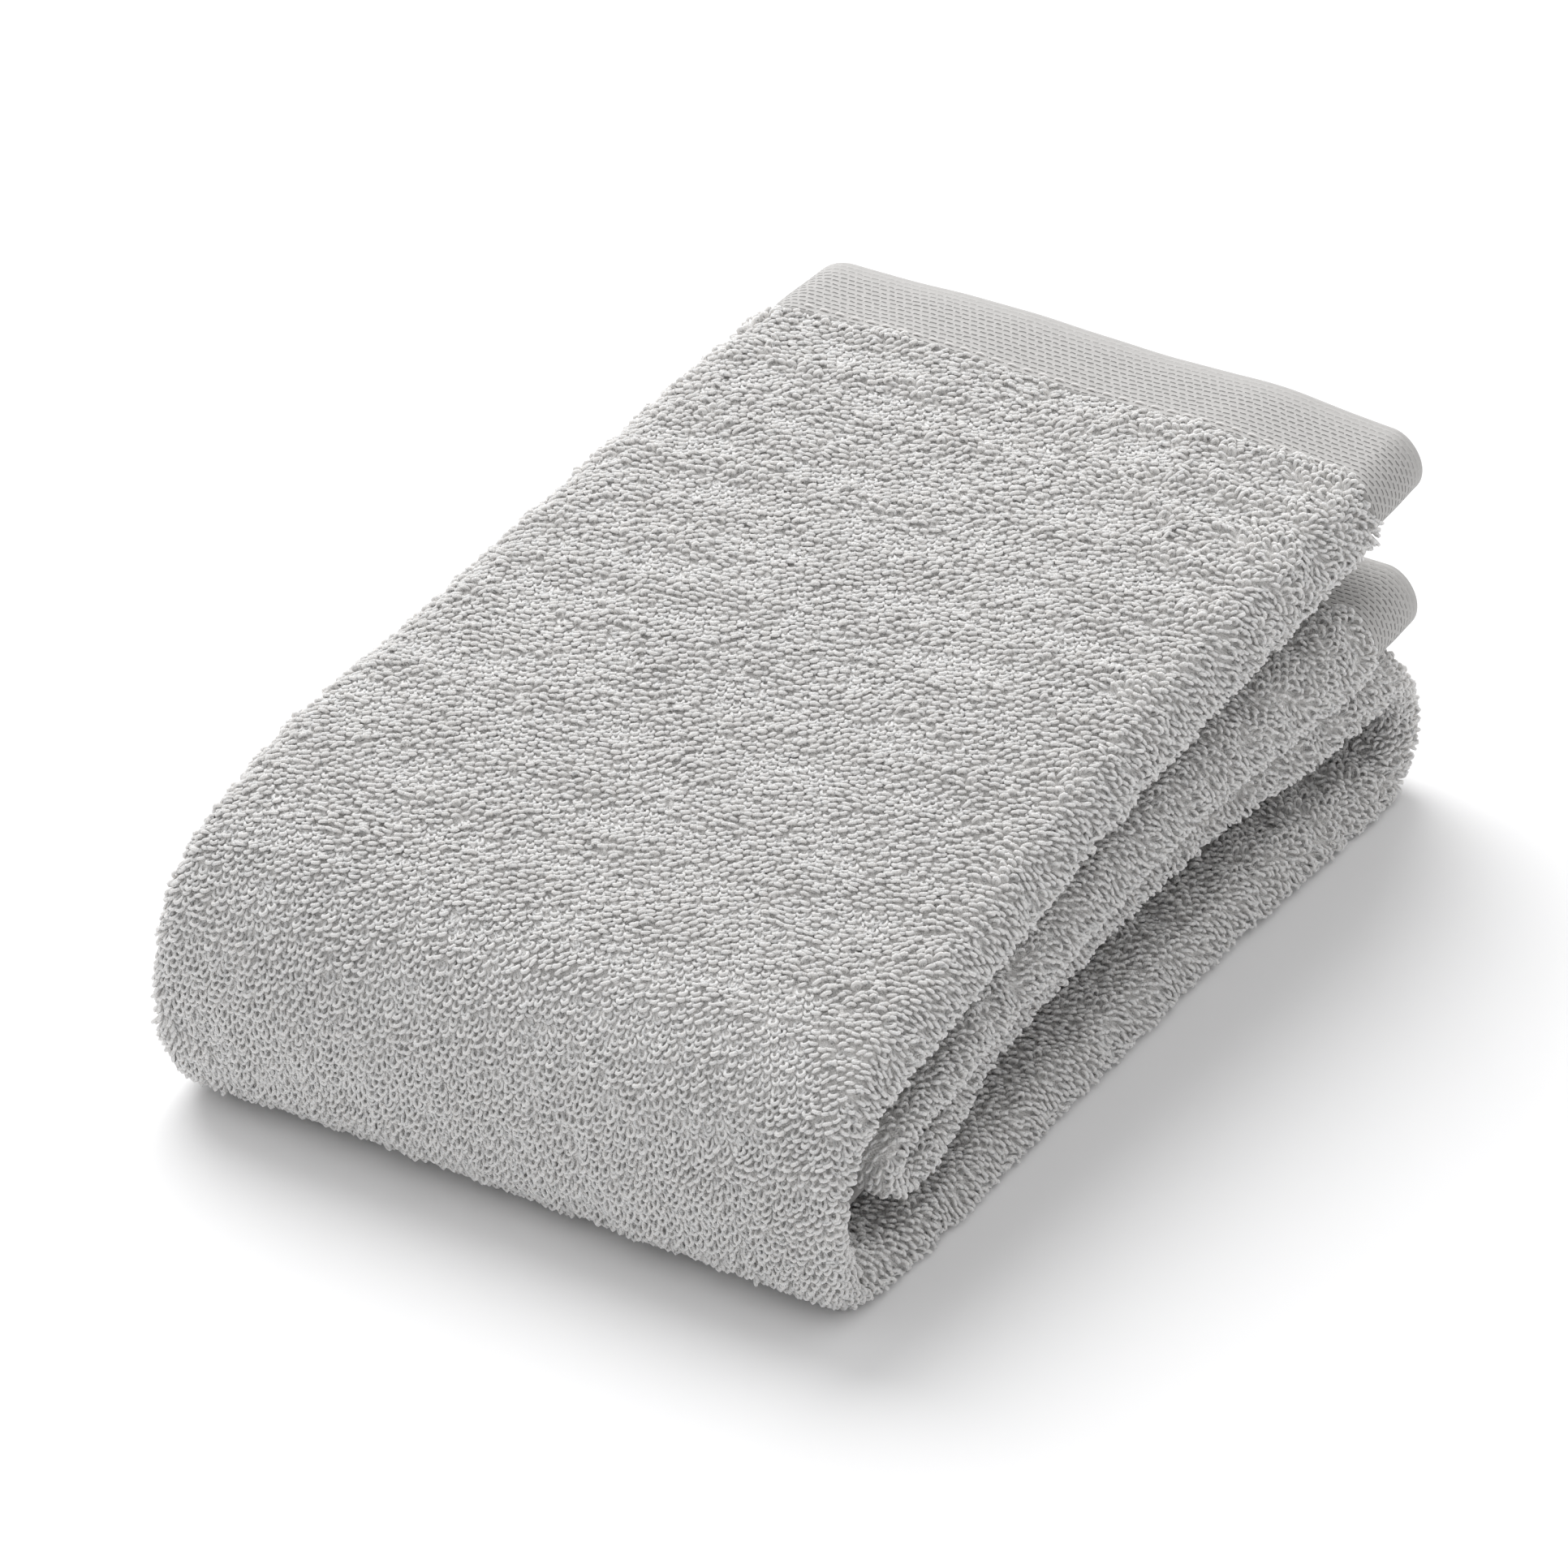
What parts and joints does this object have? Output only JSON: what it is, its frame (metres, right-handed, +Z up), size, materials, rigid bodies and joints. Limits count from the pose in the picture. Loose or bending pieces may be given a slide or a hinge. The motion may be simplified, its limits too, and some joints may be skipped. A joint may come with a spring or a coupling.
{
  "type": "folded towel",
  "caption": "Looped cotton terry towel, letter-folded and stacked in leaves, with flat-woven hem bands; the top leaf turns over the front fold.",
  "frame": {"origin": "middle of the folded towel's footprint, on the surface that it lies on", "axes": "+X across the strip, towards the side where the flap's free edge is; +Y from the front fold to the hem ends; +Z up"},
  "size_m": [0.168, 0.256, 0.0859],
  "materials": {
    "terry_pile": "uncut loop pile, matte",
    "hem_band": "flat weave with rows of small slits, matte",
    "side_hem": "flat woven, turned and sewn",
    "sewing_thread": "twisted cotton thread"
  },
  "bodies": {
    "base": {"bottom_leaf": "terry_pile", "bottom_side_hem": "side_hem", "bottom_side_stitching": "sewing_thread", "back_fold": "terry_pile", "third_leaf": "terry_pile", "third_side_hem": "side_hem", "third_side_stitching": "sewing_thread", "inner_fold": "terry_pile", "second_leaf": "terry_pile", "second_side_hem": "side_hem", "second_side_stitching": "sewing_thread", "second_hem_band": "hem_band", "second_hem_stitching": "sewing_thread", "front_fold_lower": "terry_pile"},
    "fold_middle": {"front_fold_middle": "terry_pile"},
    "top": {"top_leaf": "terry_pile", "top_side_hem": "side_hem", "top_side_stitching": "sewing_thread", "top_hem_band": "hem_band", "top_hem_stitching": "sewing_thread", "front_fold_upper": "terry_pile"}
  },
  "joints": [
    {"name": "fold_opening", "type": "hinge", "parent": "base", "child": "fold_middle", "pos_m": [0, -0.11954, 0.00847], "axis": [1, 0, 0], "range_deg": [0, 90]},
    {"name": "top_leaf_turning", "type": "hinge", "parent": "fold_middle", "child": "top", "pos_m": [0, -0.11954, 0.04933], "axis": [1, 0, 0], "range_deg": [0, 80]}
  ],
  "couplings": [
    {"joint": "top_leaf_turning", "follows": "fold_opening", "ratio": 0.88889}
  ]
}
